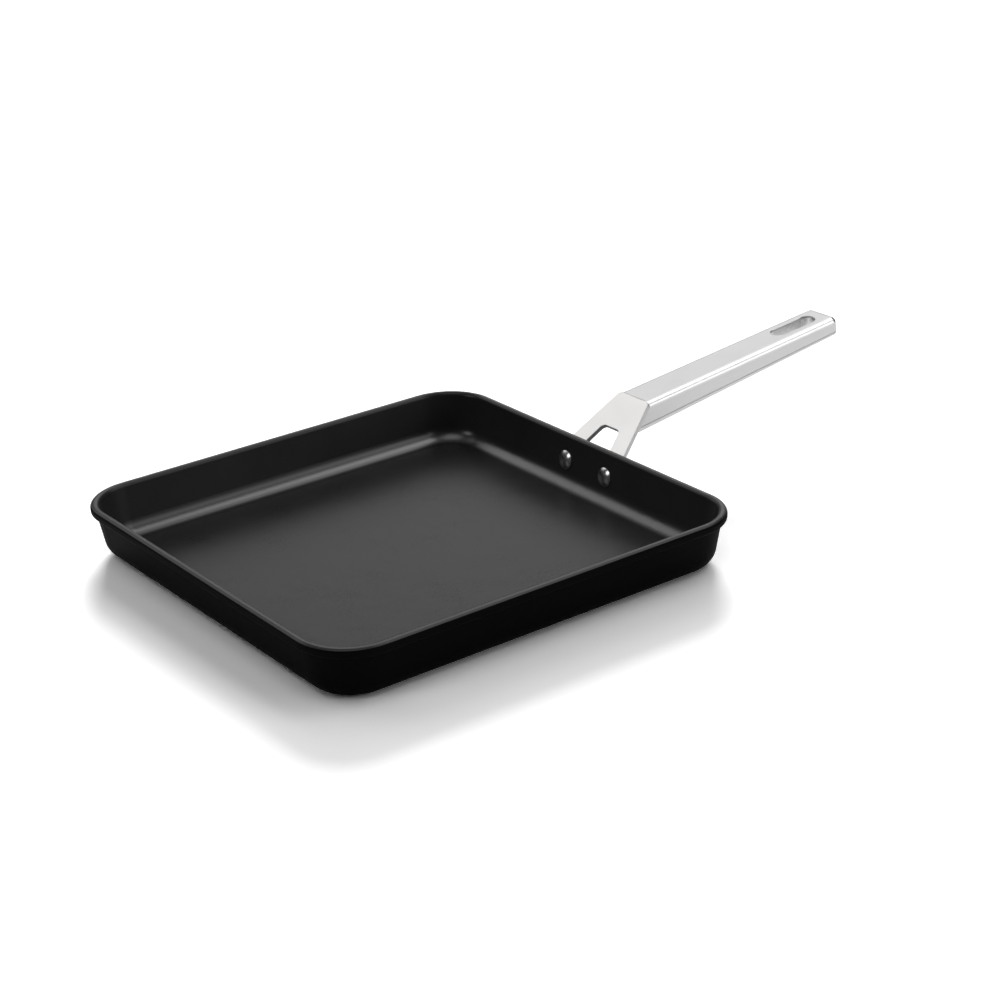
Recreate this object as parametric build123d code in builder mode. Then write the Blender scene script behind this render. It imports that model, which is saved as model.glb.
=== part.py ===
"""Square non-stick pan with a hollow steel handle.

The frame's origin is the middle of the pan's underside, +Z is up and the handle points along +X.
All lengths are in millimetres and all angles in degrees.
"""

from build123d import *
from math import atan, cos, degrees, hypot, radians, sin, tan
import os

# Pan: the rim is square in plan, and the walls lean outwards as they rise
pan_side = 280.0
pan_height = 33.0
rim_corner_radius = 33.0
rim_overhang = 3.0
rim_height = 5.6
rim_top_radius = 2.2
rim_lower_radius = 1.8
wall_thickness = 2.8
wall_draft = 10.4
floor_thickness = 2.6
inner_fillet_radius = 10.5
outer_fillet_radius = 11.5

# Round steel plate set flush in the underside
plate_radius = 92.0
plate_thickness = 0.8
plate_clearance = 0.1
plate_edge_chamfer = 0.3
groove_count = 5
groove_pitch = 14.0
groove_width = 1.2
groove_depth = 0.3

# Bracket: a flange on the pan's wall, and a sloping arm up to the grip
bracket_thickness = 2.5
bracket_foot_width = 53.4
bracket_bend_radius = 3.0
bracket_edge_radius = 0.3
crease_corner_radius = 4.0
arm_angle = 39.3
arm_length = 46.5
arm_foot_height = 24.4
flange_foot_height = 10.6
flange_corner_radius = 6.0
tongue_length = 38.0
tongue_width = 16.0

# Window in the arm
window_top_distance = 24.2
window_top_width = 15.0
window_foot_width = 24.0
window_foot_margin = 5.2
window_corner_radius = 3.5
window_edge_radius = 0.6

# Grip: hollow, slightly narrower and shallower towards its end
grip_angle = 6.25
grip_length = 160.5
grip_width_front = 27.4
grip_width_end = 25.8
grip_depth_front = 17.2
grip_depth_end = 12.4
grip_wall = 1.2
grip_upper_radius = 4.5
grip_lower_radius = 2.7
grip_end_radius = 4.6
relief_start = 8.0
relief_window_margin = 0.8
seam_depth_front = 13.3
seam_depth_end = 9.6
seam_groove_width = 0.6
seam_groove_depth = 0.5

# Hanging slot near the end of the grip
slot_end_distance = 28.0
slot_length = 34.0
slot_width = 11.0
slot_rim_radius = 0.8
sleeve_wall = 1.0

# Rivets through the wall and the flange
rivet_spacing = 37.4
rivet_height = 17.2
rivet_shank_radius = 2.5
rivet_hole_clearance = 0.15
rivet_head_radius = 5.9
rivet_head_height = 2.0
rivet_head_edge = 0.4
rivet_tail_radius = 4.8
rivet_tail_height = 1.6

# How far a cut runs past what it cuts
overrun = 5.0

# Directions in the plane of symmetry
draft_slope = tan(radians(wall_draft))
wall_out = Vector(cos(radians(wall_draft)), 0, -sin(radians(wall_draft)))
wall_up = Vector(sin(radians(wall_draft)), 0, cos(radians(wall_draft)))
arm_down = Vector(-cos(radians(arm_angle)), 0, -sin(radians(arm_angle)))
arm_front = Vector(-sin(radians(arm_angle)), 0, cos(radians(arm_angle)))
grip_along = Vector(cos(radians(grip_angle)), 0, sin(radians(grip_angle)))
grip_up = Vector(-sin(radians(grip_angle)), 0, cos(radians(grip_angle)))
mitre_angle = arm_angle - grip_angle

# Heights and offsets that follow from the driving dimensions
rim_underside = pan_height - rim_height
wall_offset = wall_thickness / cos(radians(wall_draft))


def wall_inset(height):
    """Level distance from the rim's outermost side in to the wall's outer face at one height."""
    return rim_overhang + (rim_underside - height) * draft_slope


def wall_point(height):
    """Point on the outer face of the handle's wall, in the plane of symmetry."""
    return Vector(pan_side / 2 - wall_inset(height), 0, height)


# Places that several pieces share
foot_point = wall_point(arm_foot_height)
crease_point = foot_point - arm_down * arm_length
crease_back = crease_point - arm_front * bracket_thickness
flange_end = wall_point(flange_foot_height)
rivet_seat = wall_point(rivet_height) - wall_out * wall_thickness
grip_plane = Plane(origin=crease_point, x_dir=grip_along, z_dir=grip_up)
grip_side_plane = Plane(origin=crease_point, x_dir=grip_along, z_dir=(0, -1, 0))
arm_plane = Plane(origin=crease_point, x_dir=arm_down, z_dir=arm_front)
wall_plane = Plane(origin=wall_point(rivet_height), x_dir=(0, 1, 0), z_dir=wall_out)

# Slot's centre along the grip, underside of the grip, and the seam between its shells
slot_centre = grip_length - slot_end_distance
grip_front_reach = grip_depth_front / tan(radians(mitre_angle)) + overrun
depth_slope = (grip_depth_front - grip_depth_end) / grip_length
width_slope = (grip_width_front - grip_width_end) / grip_length
seam_tilt = degrees(atan((seam_depth_front - seam_depth_end) / grip_length))
seam_plane = Plane(
    origin=crease_point - grip_up * seam_depth_front,
    z_dir=grip_up.rotate(Axis.Y, -seam_tilt),
)


def rounded_block(from_height, to_height, setback, floor_radius):
    """Block with the walls' draft, set back from the outer face of the wall, rounded at its foot."""
    foot_inset = wall_inset(from_height) + setback
    foot_side = pan_side - 2 * foot_inset
    with BuildPart() as block:
        with BuildSketch(Plane.XY.offset(from_height)):
            RectangleRounded(foot_side, foot_side, rim_corner_radius - foot_inset)
        extrude(amount=to_height - from_height, taper=-wall_draft)
        fillet(block.faces().sort_by(Axis.Z)[0].edges(), radius=floor_radius)
    return block.part


def make_rim():
    """Solid bead block that the rim is cut from, already rounded at its lower outer edge."""
    with BuildPart() as rim:
        with BuildSketch(Plane.XY.offset(rim_underside)):
            RectangleRounded(pan_side, pan_side, rim_corner_radius)
        extrude(amount=rim_height)
        fillet(rim.faces().sort_by(Axis.Z)[0].edges(), radius=rim_lower_radius)
    return rim.part


def make_pan_body():
    """Cast body: walls and floor, bead rim, rivet holes and the seat of the plate underneath."""
    outside = rounded_block(0, rim_underside + rim_top_radius, 0, outer_fillet_radius)
    inside = rounded_block(floor_thickness, pan_height + overrun, wall_offset, inner_fillet_radius)
    rim = make_rim()
    with BuildPart() as body:
        add(outside)
        add(rim)
        add(inside, mode=Mode.SUBTRACT)
        fillet(body.faces().sort_by(Axis.Z)[-1].edges(), radius=rim_top_radius)
        with BuildSketch(Plane.XY):
            Circle(plate_radius + plate_clearance)
        extrude(amount=plate_thickness, mode=Mode.SUBTRACT)
        with BuildSketch(wall_plane):
            with GridLocations(rivet_spacing, 0, 2, 1):
                Circle(rivet_shank_radius + rivet_hole_clearance)
        extrude(amount=wall_thickness + overrun, both=True, mode=Mode.SUBTRACT)
    return body


def make_induction_plate():
    """Plate under the pan, with ring grooves in its lower face."""
    with BuildPart() as plate:
        with BuildSketch(Plane.XY):
            Circle(plate_radius)
        extrude(amount=plate_thickness)
        chamfer(plate.faces().sort_by(Axis.Z)[0].edges(), length=plate_edge_chamfer)
        with BuildSketch(Plane.XY):
            for ring in range(1, groove_count + 1):
                Circle(ring * groove_pitch + groove_width / 2)
                Circle(ring * groove_pitch - groove_width / 2, mode=Mode.SUBTRACT)
        extrude(amount=groove_depth, mode=Mode.SUBTRACT)
    return plate


def mitre_place(depth):
    """Place along the grip of the arm's front face, at one depth under the grip's top."""
    return -depth / tan(radians(mitre_angle))


def arm_outline():
    """Outline of the arm and the flange, unrolled into the arm's plane, rounded beside the grip."""
    top_half = grip_width_front / 2
    foot_half = bracket_foot_width / 2
    flange_reach = arm_length + arm_foot_height
    corners = [
        (0, top_half),
        (arm_length, foot_half),
        (flange_reach, foot_half),
        (flange_reach, -foot_half),
        (arm_length, -foot_half),
        (0, -top_half),
    ]
    with BuildSketch(arm_plane) as outline:
        with BuildLine():
            Polyline(corners, close=True)
        make_face()
        fillet(outline.vertices().group_by(Axis.X)[0], radius=crease_corner_radius)
    return outline.sketch


def make_handle_bracket():
    """Steel plate: flange on the wall, sloping arm with its window, and the tongue in the grip."""
    turn = 90 - wall_draft - arm_angle
    bend_mitre = (wall_out - arm_front).normalized() * (bracket_thickness / cos(radians(turn / 2)))
    plate_cut = bracket_thickness / sin(radians(mitre_angle))
    side_points = [
        crease_point - arm_down * overrun,
        foot_point,
        flange_end,
        flange_end + wall_out * bracket_thickness,
        foot_point + bend_mitre,
        crease_back - arm_down * overrun,
    ]
    window_foot = arm_length - window_foot_margin
    window = [
        (window_top_distance, window_top_width / 2),
        (window_foot, window_foot_width / 2),
        (window_foot, -window_foot_width / 2),
        (window_top_distance, -window_top_width / 2),
    ]
    tongue_top = grip_wall
    tongue_foot = grip_wall + bracket_thickness
    tongue = [
        (mitre_place(tongue_top) + plate_cut / 2, -tongue_top),
        (tongue_length, -tongue_top),
        (tongue_length, -tongue_foot),
        (mitre_place(tongue_foot) + plate_cut / 2, -tongue_foot),
    ]
    with BuildPart() as bracket:
        with BuildSketch(Plane.XZ):
            with BuildLine():
                Polyline([(p.X, p.Z) for p in side_points], close=True)
            make_face()
        extrude(amount=bracket_foot_width / 2, both=True)
        bends = bracket.edges().filter_by(Axis.Y).sort_by_distance(foot_point)[0]
        fillet(bends, radius=bracket_bend_radius + bracket_thickness)
        bends = bracket.edges().filter_by(Axis.Y).sort_by_distance(foot_point + bend_mitre)[0]
        fillet(bends, radius=bracket_bend_radius)
        extrude(arm_outline(), amount=arm_length, both=True, mode=Mode.INTERSECT)
        fillet(bracket.edges().filter_by(Axis(flange_end, wall_out)), radius=flange_corner_radius)
        with BuildSketch(arm_plane):
            with BuildLine():
                Polyline(window, close=True)
            face = make_face()
            fillet(face.vertices(), radius=window_corner_radius)
        extrude(amount=bracket_thickness + overrun, both=True, mode=Mode.SUBTRACT)
        front = bracket.faces().filter_by(arm_plane).sort_by(Axis(crease_point, arm_front))[-1]
        fillet(front.inner_wires()[0].edges(), radius=window_edge_radius)
        front = bracket.faces().filter_by(arm_plane).sort_by(Axis(crease_point, arm_front))[-1]
        rims = front.outer_wire().edges()
        bend_line = rims.sort_by(Axis.Z)[0]
        fillet([e for e in rims if e != bend_line], radius=bracket_edge_radius)
        with BuildSketch(grip_side_plane):
            with BuildLine():
                Polyline(tongue, close=True)
            make_face()
        extrude(amount=tongue_width / 2, both=True)
        with BuildSketch(wall_plane):
            with GridLocations(rivet_spacing, 0, 2, 1):
                Circle(rivet_shank_radius + rivet_hole_clearance)
        extrude(amount=bracket_thickness + overrun, both=True, mode=Mode.SUBTRACT)
    return bracket


def grip_form(inset):
    """Tapering bar with every face moved in by one inset; its front runs past the bracket."""
    reach = grip_front_reach
    relief_depth = grip_depth_front + relief_start * depth_slope
    relief_front = grip_plane.to_local_coords(
        crease_back + arm_down * (window_top_distance - relief_window_margin)
    )
    relief_slope = (relief_depth + relief_front.Z) / (-relief_start - relief_front.X)
    side_outline = [
        (-reach, 0),
        (grip_length, 0),
        (grip_length, -grip_depth_end),
        (-relief_start, -relief_depth),
        (-reach, -relief_depth + (reach - relief_start) * relief_slope),
    ]
    front_half = (grip_width_front + reach * width_slope) / 2
    plan_outline = [
        (-reach, front_half),
        (-reach, -front_half),
        (grip_length, -grip_width_end / 2),
        (grip_length, grip_width_end / 2),
    ]
    with BuildPart() as form:
        with BuildSketch(grip_side_plane):
            with BuildLine():
                Polyline(side_outline, close=True)
            make_face()
            if inset:
                offset(amount=-inset, kind=Kind.INTERSECTION)
        extrude(amount=grip_width_front, both=True)
        with BuildSketch(grip_plane):
            with BuildLine():
                Polyline(plan_outline, close=True)
            make_face()
            if inset:
                offset(amount=-inset, kind=Kind.INTERSECTION)
        extrude(amount=grip_width_front, both=True, mode=Mode.INTERSECT)
        uprights = form.edges().filter_by(Axis(crease_point, grip_up))
        fillet(uprights.sort_by(Axis(crease_point, grip_along))[-2:], radius=grip_end_radius - inset)
        levels = form.faces().sort_by(Axis(crease_point, grip_up))
        upper = levels[-1].edges()
        lower = levels[0].edges() + levels[1].edges()
        for rims, radius in ((upper, grip_upper_radius), (lower, grip_lower_radius)):
            across = rims.filter_by(Axis.Y).sort_by(Axis(crease_point, grip_along))
            fillet([e for e in rims if e not in across[:-1]], radius=radius - inset)
    return form.part


def make_grip_shell(outside, inside, keep):
    """One half of the hollow grip: the channel above the seam, or the tray below it."""
    groove_form = grip_form(seam_groove_depth)
    front_run = (grip_front_reach + overrun) / cos(radians(mitre_angle))
    front_foot = grip_side_plane.to_local_coords(crease_point + arm_down * front_run)
    front_cut = [
        (0, overrun),
        (0, 0),
        (front_foot.X, front_foot.Y),
        (front_foot.X, overrun),
    ]
    with BuildPart() as groove:
        with BuildSketch(seam_plane):
            Rectangle(2 * (grip_length + overrun), grip_width_front + overrun)
        extrude(amount=seam_groove_width / 2, both=True)
        add(groove_form, mode=Mode.SUBTRACT)
    with BuildPart() as shell:
        add(outside)
        add(inside, mode=Mode.SUBTRACT)
        add(groove.part, mode=Mode.SUBTRACT)
        with BuildSketch(grip_side_plane):
            with BuildLine():
                Polyline(front_cut, close=True)
            make_face()
        extrude(amount=grip_width_front, both=True, mode=Mode.SUBTRACT)
        extrude(arm_outline(), amount=-bracket_thickness, mode=Mode.SUBTRACT)
        split(bisect_by=seam_plane, keep=keep)
        with BuildSketch(grip_plane):
            with Locations((slot_centre, 0)):
                SlotOverall(slot_length, slot_width)
        extrude(amount=grip_depth_front + overrun, both=True, mode=Mode.SUBTRACT)
        skin = shell.faces().sort_by(SortBy.AREA)[-1]
        fillet(skin.inner_wires()[0].edges(), radius=slot_rim_radius)
    return shell


def make_hang_slot_sleeve(inside):
    """Liner of the slot, standing between the upper and the lower shell."""
    with BuildPart() as sleeve:
        with BuildSketch(grip_plane):
            with Locations((slot_centre, 0)):
                SlotOverall(slot_length + 2 * sleeve_wall, slot_width + 2 * sleeve_wall)
                SlotOverall(slot_length, slot_width, mode=Mode.SUBTRACT)
        extrude(amount=grip_depth_front, both=True)
        add(inside, mode=Mode.INTERSECT)
    return sleeve


def make_rivet(side):
    """Rivet: domed head inside the pan, shank, and a flatter head on the flange."""
    inward = -wall_out
    centre = rivet_seat + Vector(0, side * rivet_spacing / 2, 0)
    stack = wall_thickness + bracket_thickness
    with BuildPart() as rivet:
        with BuildSketch(Plane(origin=centre, x_dir=(0, 1, 0), z_dir=wall_up)):
            with BuildLine():
                Line((0, rivet_head_height), (0, -stack - rivet_tail_height))
                tail_rise = rivet_tail_height - rivet_head_edge
                RadiusArc(
                    (0, -stack - rivet_tail_height),
                    (rivet_tail_radius, -stack - rivet_head_edge),
                    -dome_radius(rivet_tail_radius, tail_rise),
                )
                Polyline(
                    (rivet_tail_radius, -stack - rivet_head_edge),
                    (rivet_tail_radius, -stack),
                    (rivet_shank_radius, -stack),
                    (rivet_shank_radius, 0),
                    (rivet_head_radius, 0),
                    (rivet_head_radius, rivet_head_edge),
                )
                head_rise = rivet_head_height - rivet_head_edge
                RadiusArc(
                    (rivet_head_radius, rivet_head_edge),
                    (0, rivet_head_height),
                    -dome_radius(rivet_head_radius, head_rise),
                )
            make_face()
        revolve(axis=Axis(centre, inward))
    return rivet


def dome_radius(half_width, rise):
    """Radius of the sphere whose cap has one half width and one rise."""
    return hypot(half_width, rise) ** 2 / (2 * rise)


grip_outside = grip_form(0)
grip_inside = grip_form(grip_wall)

os.makedirs("parts", exist_ok=True)

pan_body = make_pan_body()
pan_body.part.label = "pan_body"
export_step(pan_body.part, "parts/pan_body.step")

induction_plate = make_induction_plate()
induction_plate.part.label = "induction_plate"
export_step(induction_plate.part, "parts/induction_plate.step")

handle_bracket = make_handle_bracket()
handle_bracket.part.label = "handle_bracket"
export_step(handle_bracket.part, "parts/handle_bracket.step")

grip_upper_shell = make_grip_shell(grip_outside, grip_inside, Keep.TOP)
grip_upper_shell.part.label = "grip_upper_shell"
export_step(grip_upper_shell.part, "parts/grip_upper_shell.step")

grip_lower_shell = make_grip_shell(grip_outside, grip_inside, Keep.BOTTOM)
grip_lower_shell.part.label = "grip_lower_shell"
export_step(grip_lower_shell.part, "parts/grip_lower_shell.step")

hang_slot_sleeve = make_hang_slot_sleeve(grip_inside)
hang_slot_sleeve.part.label = "hang_slot_sleeve"
export_step(hang_slot_sleeve.part, "parts/hang_slot_sleeve.step")

rivet_left = make_rivet(1)
rivet_left.part.label = "rivet_left"
export_step(rivet_left.part, "parts/rivet_left.step")

rivet_right = make_rivet(-1)
rivet_right.part.label = "rivet_right"
export_step(rivet_right.part, "parts/rivet_right.step")
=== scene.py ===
import math

import bpy
from mathutils import Matrix, Vector

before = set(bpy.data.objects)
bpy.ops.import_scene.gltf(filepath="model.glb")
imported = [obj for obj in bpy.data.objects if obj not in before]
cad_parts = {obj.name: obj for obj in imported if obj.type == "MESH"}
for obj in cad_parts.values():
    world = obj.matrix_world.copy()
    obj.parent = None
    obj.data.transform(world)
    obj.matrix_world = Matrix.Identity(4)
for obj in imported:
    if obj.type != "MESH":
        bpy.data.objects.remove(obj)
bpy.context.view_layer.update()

scene = bpy.context.scene
scene.view_settings.view_transform = "Standard"

# Camera: axes and place in metres, the pinhole's focal length in image widths, and its clipping distances
CAMERA_RIGHT = Vector((0.79884, -0.60036, -0.03849))
CAMERA_UP = Vector((0.26520, 0.29404, 0.91827))
CAMERA_BACK = Vector((-0.53997, -0.74376, 0.39411))
CAMERA_EYE = Vector((-0.65566, -0.99699, 0.54373))
CAMERA_FOCAL = 2.271642
CAMERA_NEAR = 0.05
CAMERA_FAR = 50.0
SENSOR_MM = 36.0

# Handle: where the grip starts on the arm, and how it climbs
CREASE = Vector((0.17243, 0.0, 0.05385))
GRIP_ANGLE = math.radians(6.25)

# Bracket's sloping arm: its angle, and the distances down it between which its cut faces lie
ARM_ANGLE = math.radians(39.3)
ARM_REACH = (0.0, 0.0462)

# Window in the arm: the distance down to its top edge, and half its width
WINDOW_TOP = 0.0235
WINDOW_HALF = 0.0126

# A face is one of the plate's broad faces where the cosine between their normals is above this
BROAD_FACE = 0.6

# Material slots of the pan and of the bracket
INSIDE, OUTSIDE = 0, 1
PLATE, OUTLINE, WINDOW = 0, 1, 2

# Pan: half side of the rim, corner radius, and how far in from the rim's side its inside coating starts
RIM_HALF = 0.140
RIM_CORNER = 0.033
RIM_SIDE = 0.0006

# Least upward lean of a face of the pan that looks into it
UPWARD = 0.05

# Noise keeps mostly between these values, and that of the stains closer to its middle
NOISE_BAND = (0.3, 0.7)
STAIN_BAND = (0.35, 0.65)

# Coating: scales per metre of its slow changes, speckle and orange peel, and how far each of them reaches
CLOUD_SCALE = 22.0
CLOUD_TONE = 0.15
CLOUD_SHEEN = 0.02
SPECKLE_SCALE = 2600.0
SPECKLE_SHEEN = 0.03
SPECKLE_RELIEF = 0.4
PEEL_SCALE = 700.0

# Inside coating: gloss of the wiped fillet and of the wall above it, and the heights where it changes
GLOSS_IOR = 1.78
FILLET_GLOSS = 1.0
WALL_GLOSS = 0.22
GLOSS_STARTS = (0.0027, 0.0036)
GLOSS_ENDS = (0.006, 0.010)

# Brushed steel: lowest and highest share of its colour, and what its streaks and patches change
STREAK_TONES = (0.95, 1.04)
STREAK_ROUGHNESS = 0.65
STREAK_SHEEN = 0.05
STREAK_RELIEF = 0.00002
PATCH_SCALE = 45.0
PATCH_SHEEN = 0.02

# Grip's rounded edges, lighter as a painted highlight and smoother: distance from its middle, slant, and how
# much smoother
HIGHLIGHT_SIDE = (0.0072, 0.0082)
HIGHLIGHT_SLANT = (0.02, 0.48)
HIGHLIGHT_SHEEN = 0.06

# Turned steel: rings and stains, per metre, with their changes of tone and sheen, its relief and its warmth
RING_SCALE = 2500.0
RING_SHEEN = 0.06
RING_RELIEF = 0.00003
STAIN_SCALE = 30.0
STAIN_TONES = (0.92, 1.03)
STAIN_SHEEN = 0.04
TURNED_WARMTH = 0.01

# Grain of the steels: how often it changes per metre, along the piece, across it and through it
GRIP_GRAIN = (25.0, 2200.0, 2200.0)
SLEEVE_GRAIN = (2200.0, 2200.0, 60.0)
PLATE_GRAIN = (60.0, 1500.0, 1500.0)
CUT_GRAIN = (900.0, 300.0, 300.0)
RIVET_GRAIN = (300.0, 300.0, 300.0)

# Light from the world, and what the camera sees of it beyond the floor
SKY_LEVEL = 0.042
HORIZON_SEEN = 1.0

# Soft boxes: azimuth, elevation, inner and outer half angle, in degrees, and radiance
SOFT_BOXES = [
    (49.0, 33.0, 10.0, 27.0, 1.36),
    (108.0, 36.0, 9.0, 26.0, 1.27),
    (18.0, 55.0, 4.0, 16.0, 1.36),
    (-22.0, 54.0, 6.0, 18.0, 2.72),
    (-52.0, 21.0, 9.0, 24.0, 1.65),
    (205.0, 74.0, 10.0, 28.0, 1.06),
    (166.0, 27.0, 4.0, 12.0, 2.9),
]

# One broad lamp behind the object draws its shadow on the floor
LAMP_AZIMUTH = 53.0
LAMP_ELEVATION = 21.5
LAMP_ANGLE = 22.0
LAMP_STRENGTH = 4.68

# Floor: its colour for plain light, for the camera and for mirrors, and how far it reaches
FLOOR_COLOR = 0.98
FLOOR_SEEN = 1.33
FLOOR_MIRRORED = 1.0
FLOOR_REACH = 40.0


class Nodes:
    """Short names for the shader nodes that the materials are made of."""

    def __init__(self, tree):
        self.tree = tree
        tree.nodes.clear()

    def set(self, socket, value):
        """Gives an input a number, or links it to another node's output."""
        if isinstance(value, bpy.types.NodeSocket):
            self.tree.links.new(value, socket)
        else:
            socket.default_value = value

    def put(self, kind, inputs=None, **settings):
        """A new node with its settings and its inputs."""
        node = self.tree.nodes.new(kind)
        for key, value in settings.items():
            setattr(node, key, value)
        for key, value in (inputs or {}).items():
            self.set(node.inputs[key], value)
        return node

    def place(self, scale=(1, 1, 1), rotation=(0, 0, 0)):
        """Object coordinates, turned and stretched."""
        coords = self.put("ShaderNodeTexCoord").outputs["Object"]
        mapping = {"Vector": coords, "Scale": scale, "Rotation": rotation}
        return self.put("ShaderNodeMapping", mapping).outputs["Vector"]

    def split(self, vector):
        """Three outputs of a vector, by the names of their axes."""
        return self.put("ShaderNodeSeparateXYZ", {"Vector": vector}).outputs

    def noise(self, vector, scale, detail=3.0, roughness=0.5):
        inputs = {"Vector": vector, "Scale": scale, "Detail": detail, "Roughness": roughness}
        return self.put("ShaderNodeTexNoise", inputs).outputs["Fac"]

    def spread(self, value, low, high, band=(0.0, 1.0), kind="LINEAR"):
        """A value carried from a band to another range."""
        inputs = {"Value": value, "From Min": band[0], "From Max": band[1], "To Min": low, "To Max": high}
        return self.put("ShaderNodeMapRange", inputs, interpolation_type=kind).outputs["Result"]

    def waver(self, noise, middle, reach):
        """Noise carried to an even reach on both sides of a middle."""
        return self.spread(noise, middle - reach, middle + reach, NOISE_BAND)

    def math(self, kind, first, second=0.0):
        return self.put("ShaderNodeMath", {0: first, 1: second}, operation=kind).outputs[0]

    def blend(self, factor, first, second):
        """A colour between two."""
        node = self.put("ShaderNodeMix", data_type="RGBA")
        self.set(node.inputs[0], factor)
        self.set(node.inputs[6], first)
        self.set(node.inputs[7], second)
        return node.outputs[2]

    def bump(self, height, distance, normal=None):
        inputs = {"Height": height, "Distance": distance}
        if normal is not None:
            inputs["Normal"] = normal
        return self.put("ShaderNodeBump", inputs).outputs["Normal"]

    def finish(self, shader):
        self.put("ShaderNodeOutputMaterial", {"Surface": shader.outputs[0]})


def grey(value, warmth=0.0):
    return (value * (1 + warmth), value, value * (1 - warmth), 1.0)


def new_material(name):
    material = bpy.data.materials.new(name)
    material.use_nodes = True
    return material, Nodes(material.node_tree)


def make_coating(name, color, roughness, specular, grain, worn=False):
    """Sprayed non-stick or heat-proof coating: near black, with a fine grain and slow changes of sheen.

    Wear dulls the coating of the cooking floor, and wiping polishes it in the fillet round the floor.
    """
    material, nodes = new_material(name)
    place = nodes.place()
    cloud = nodes.noise(place, CLOUD_SCALE, detail=4.0)
    speckle = nodes.noise(place, SPECKLE_SCALE, detail=2.0)
    orange_peel = nodes.noise(place, PEEL_SCALE)
    cloud_factor = nodes.spread(cloud, 0.0, 1.0, NOISE_BAND)
    tone = nodes.blend(cloud_factor, grey(color * (1 - CLOUD_TONE)), grey(color * (1 + CLOUD_TONE)))
    sheen = nodes.waver(cloud, roughness, CLOUD_SHEEN)
    sheen = nodes.math("ADD", sheen, nodes.waver(speckle, 0.0, SPECKLE_SHEEN))
    normal = nodes.bump(speckle, grain * SPECKLE_RELIEF)
    normal = nodes.bump(orange_peel, grain, normal)
    inputs = {
        "Base Color": tone,
        "Roughness": sheen,
        "Specular IOR Level": specular,
        "Normal": normal,
    }
    if worn:
        height = nodes.split(place)["Z"]
        polished = nodes.spread(height, 0.0, FILLET_GLOSS, GLOSS_STARTS, "SMOOTHSTEP")
        fading = nodes.spread(height, 0.0, FILLET_GLOSS - WALL_GLOSS, GLOSS_ENDS, "SMOOTHSTEP")
        inputs["Coat Weight"] = nodes.math("SUBTRACT", polished, fading)
        inputs["Coat IOR"] = GLOSS_IOR
        inputs["Coat Roughness"] = roughness
        inputs["Coat Normal"] = normal
    nodes.finish(nodes.put("ShaderNodeBsdfPrincipled", inputs))
    return material


def painted_edge_highlight(nodes):
    """Mask of the painted highlight: one on the grip's rounded long edges, fading to nought towards its
    level top and its upright sides.
    """
    coords = nodes.put("ShaderNodeTexCoord").outputs
    across = nodes.math("ABSOLUTE", nodes.split(coords["Object"])["Y"])
    normal = nodes.split(coords["Normal"])
    upward = nodes.math("MAXIMUM", normal["Z"])
    sideways = nodes.math("ABSOLUTE", normal["Y"])
    slant = nodes.math("MULTIPLY", upward, sideways)
    rounded = nodes.spread(slant, 0.0, 1.0, HIGHLIGHT_SLANT, "SMOOTHSTEP")
    beside_slot = nodes.spread(across, 0.0, 1.0, HIGHLIGHT_SIDE)
    return nodes.math("MULTIPLY", beside_slot, rounded)


def make_brushed_steel(name, color, roughness, grain, rotation=(0, 0, 0),
                       relief=1.0, warmth=0.0, highlight_color=None):
    """Steel with a straight grain: long fine streaks that change the sheen and the relief.

    Where a highlight colour is given, the rounded edges round its top get that lighter colour, a painted
    highlight, and a smoother sheen.
    """
    material, nodes = new_material(name)
    streaks = nodes.noise(nodes.place(grain, rotation), scale=1.0, detail=6.0, roughness=STREAK_ROUGHNESS)
    patches = nodes.noise(nodes.place(), PATCH_SCALE)
    darkest, lightest = (grey(color * share, warmth) for share in STREAK_TONES)
    tone = nodes.blend(streaks, darkest, lightest)
    sheen = nodes.waver(streaks, roughness, STREAK_SHEEN)
    sheen = nodes.math("ADD", sheen, nodes.waver(patches, 0.0, PATCH_SHEEN))
    # Painted highlight: a lighter colour on the rounded long edges, with a smoother sheen there
    if highlight_color is not None:
        highlight_mask = painted_edge_highlight(nodes)
        tone = nodes.blend(highlight_mask, tone, grey(highlight_color, warmth))
        sheen = nodes.math("SUBTRACT", sheen, nodes.spread(highlight_mask, 0.0, HIGHLIGHT_SHEEN))
    inputs = {
        "Base Color": tone,
        "Metallic": 1.0,
        "Roughness": sheen,
        "Normal": nodes.bump(streaks, STREAK_RELIEF * relief),
    }
    nodes.finish(nodes.put("ShaderNodeBsdfPrincipled", inputs))
    return material


def make_turned_steel(name, color, roughness):
    """Steel faced on a lathe: rings round the middle of the plate."""
    material, nodes = new_material(name)
    flat = nodes.place((1, 1, 0))
    radius = nodes.put("ShaderNodeVectorMath", {0: flat}, operation="LENGTH").outputs["Value"]
    ring_place = nodes.put("ShaderNodeCombineXYZ", {"X": radius}).outputs[0]
    rings = nodes.noise(ring_place, RING_SCALE)
    stains = nodes.noise(nodes.place(), STAIN_SCALE, detail=4.0)
    darkest, lightest = (grey(color * share, TURNED_WARMTH) for share in STAIN_TONES)
    tone = nodes.blend(nodes.spread(stains, 0.0, 1.0, STAIN_BAND), darkest, lightest)
    sheen = nodes.waver(rings, roughness, RING_SHEEN)
    sheen = nodes.math("ADD", sheen, nodes.waver(stains, 0.0, STAIN_SHEEN))
    inputs = {
        "Base Color": tone,
        "Metallic": 1.0,
        "Roughness": sheen,
        "Normal": nodes.bump(rings, RING_RELIEF),
    }
    nodes.finish(nodes.put("ShaderNodeBsdfPrincipled", inputs))
    return material


def dress(node_name, *materials):
    """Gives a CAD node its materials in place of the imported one."""
    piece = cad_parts[node_name]
    piece.data.materials.clear()
    for material in materials:
        piece.data.materials.append(material)
    return piece


def edge_distance(x, y):
    """Signed distance in plan from the rim's outermost line, negative inside it."""
    straight = RIM_HALF - RIM_CORNER
    over_x = abs(x) - straight
    over_y = abs(y) - straight
    outside = math.hypot(max(over_x, 0), max(over_y, 0))
    return outside + min(max(over_x, over_y), 0) - RIM_CORNER


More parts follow.
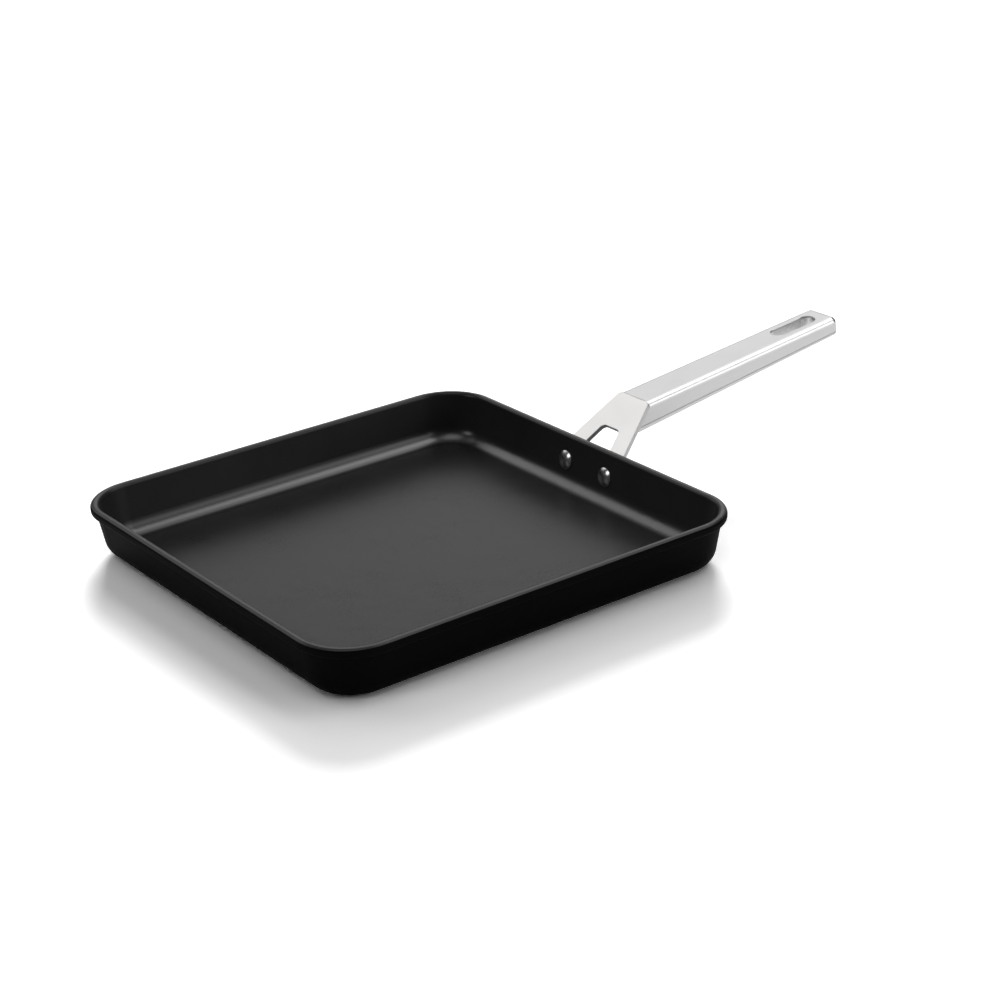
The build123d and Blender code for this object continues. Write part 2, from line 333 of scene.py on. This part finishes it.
def pan_slot(face):
    """Material slot of a face of the pan: those that look into it lean upward, and the rest lean down."""
    depth = -edge_distance(face.center.x, face.center.y)
    return INSIDE if face.normal.z > UPWARD and depth > RIM_SIDE else OUTSIDE


def bracket_slot(face):
    """Material slot of a face of the bracket: the plate's broad faces, its cut outline or its window."""
    down = Vector((-math.cos(ARM_ANGLE), 0, -math.sin(ARM_ANGLE)))
    front = Vector((-math.sin(ARM_ANGLE), 0, math.cos(ARM_ANGLE)))
    along = (face.center - CREASE).dot(down)
    if not ARM_REACH[0] < along < ARM_REACH[1] or abs(face.normal.dot(front)) > BROAD_FACE:
        return PLATE
    return WINDOW if along > WINDOW_TOP and abs(face.center.y) < WINDOW_HALF else OUTLINE


def heading(azimuth, elevation):
    """Direction that points at a place in the sky, given in degrees."""
    a, e = math.radians(azimuth), math.radians(elevation)
    return Vector((math.cos(a) * math.cos(e), math.sin(a) * math.cos(e), math.sin(e)))


def make_world():
    """Soft studio light from all round, with soft boxes whose edges fade, and a white horizon in view."""
    world = bpy.data.worlds.new("studio")
    scene.world = world
    world.use_nodes = True
    nodes = Nodes(world.node_tree)
    direction = nodes.put("ShaderNodeTexCoord").outputs["Generated"]
    total = SKY_LEVEL
    for azimuth, elevation, inner, outer, radiance in SOFT_BOXES:
        towards = {0: direction, 1: heading(azimuth, elevation)}
        cosine = nodes.put("ShaderNodeVectorMath", towards, operation="DOT_PRODUCT").outputs["Value"]
        fading = (math.cos(math.radians(outer)), math.cos(math.radians(inner)))
        lobe = nodes.spread(cosine, 0.0, radiance, fading, "SMOOTHSTEP")
        total = nodes.math("ADD", total, lobe)
    seen = nodes.put("ShaderNodeLightPath").outputs["Is Camera Ray"]
    level = nodes.spread(seen, total, HORIZON_SEEN)
    light = nodes.put("ShaderNodeBackground", {"Color": (1, 1, 1, 1), "Strength": level})
    nodes.put("ShaderNodeOutputWorld", {"Surface": light.outputs[0]})


def make_lamp():
    data = bpy.data.lights.new("lamp", "SUN")
    data.angle = math.radians(LAMP_ANGLE)
    data.energy = LAMP_STRENGTH
    lamp = bpy.data.objects.new("lamp", data)
    scene.collection.objects.link(lamp)
    lamp.rotation_mode = "QUATERNION"
    lamp.rotation_quaternion = heading(LAMP_AZIMUTH, LAMP_ELEVATION).to_track_quat("Z", "Y")
    lamp.visible_glossy = False


def make_floor():
    mesh = bpy.data.meshes.new("floor")
    corners = [(x * FLOOR_REACH, y * FLOOR_REACH, 0) for x, y in ((-1, -1), (1, -1), (1, 1), (-1, 1))]
    mesh.from_pydata(corners, [], [(0, 1, 2, 3)])
    floor = bpy.data.objects.new("floor", mesh)
    scene.collection.objects.link(floor)
    material, nodes = new_material("floor_paper")
    rays = nodes.put("ShaderNodeLightPath").outputs
    mirrored = nodes.math("ADD", rays["Is Glossy Ray"], rays["Is Transmission Ray"])
    tone = nodes.blend(mirrored, grey(FLOOR_COLOR), grey(FLOOR_MIRRORED))
    tone = nodes.blend(rays["Is Camera Ray"], tone, grey(FLOOR_SEEN))
    nodes.finish(nodes.put("ShaderNodeBsdfDiffuse", {"Color": tone}))
    mesh.materials.append(material)


def make_camera():
    data = bpy.data.cameras.new("camera")
    data.sensor_fit = "HORIZONTAL"
    data.sensor_width = SENSOR_MM
    data.lens = CAMERA_FOCAL * SENSOR_MM
    data.clip_start = CAMERA_NEAR
    data.clip_end = CAMERA_FAR
    camera = bpy.data.objects.new("camera", data)
    scene.collection.objects.link(camera)
    axes = Matrix((CAMERA_RIGHT, CAMERA_UP, CAMERA_BACK)).transposed()
    camera.matrix_world = Matrix.Translation(CAMERA_EYE) @ axes.to_4x4()
    scene.camera = camera


make_world()
make_lamp()
make_floor()
make_camera()

# Pan, coated inside and outside
inside_coat = make_coating(
    "inside_coating", color=0.0247, roughness=0.3, specular=0.094, grain=0.00003, worn=True
)
outside_coat = make_coating("outside_coating", color=0.0026, roughness=0.6, specular=0.024, grain=0.00004)
pan = dress("pan_body", inside_coat, outside_coat)
for face in pan.data.polygons:
    face.material_index = pan_slot(face)

# Grip and the sleeve of its slot, grained along the grip
along_grip = (0.0, GRIP_ANGLE, 0.0)
# The grip's lighter rounded edges are a painted highlight
grip_steel = make_brushed_steel(
    "grip_steel", color=0.54, roughness=0.32, grain=GRIP_GRAIN, rotation=along_grip,
    relief=0.6, highlight_color=0.776,
)
sleeve_steel = make_brushed_steel(
    "sleeve_steel", color=0.66, roughness=0.3, grain=SLEEVE_GRAIN, rotation=along_grip
)
dress("grip_upper_shell", grip_steel)
dress("grip_lower_shell", grip_steel)
dress("hang_slot_sleeve", sleeve_steel)

# Bracket, grained along its arm, with darker faces where the plate is cut, and the window's cut faces near
# black as painted shade
along_arm = (0.0, ARM_ANGLE, 0.0)
plate_steel = make_brushed_steel(
    "bracket_steel", color=0.776, roughness=0.34, grain=PLATE_GRAIN, rotation=along_arm, warmth=0.012
)
cut_steel = make_brushed_steel("cut_steel", color=0.49, roughness=0.45, grain=CUT_GRAIN, rotation=along_arm)
# The window's cut faces: a near-black colour that paints the shade inside the window
window_shade_steel = make_brushed_steel(
    "window_shade_steel", color=0.094, roughness=0.5, grain=CUT_GRAIN, rotation=along_arm
)
bracket = dress("handle_bracket", plate_steel, cut_steel, window_shade_steel)
for face in bracket.data.polygons:
    face.material_index = bracket_slot(face)

# Rivets, and the plate under the pan
rivet_steel = make_brushed_steel("rivet_steel", color=0.65, roughness=0.22, grain=RIVET_GRAIN, relief=0.5)
dress("rivet_left", rivet_steel)
dress("rivet_right", rivet_steel)
dress("induction_plate", make_turned_steel("induction_steel", color=0.65, roughness=0.38))
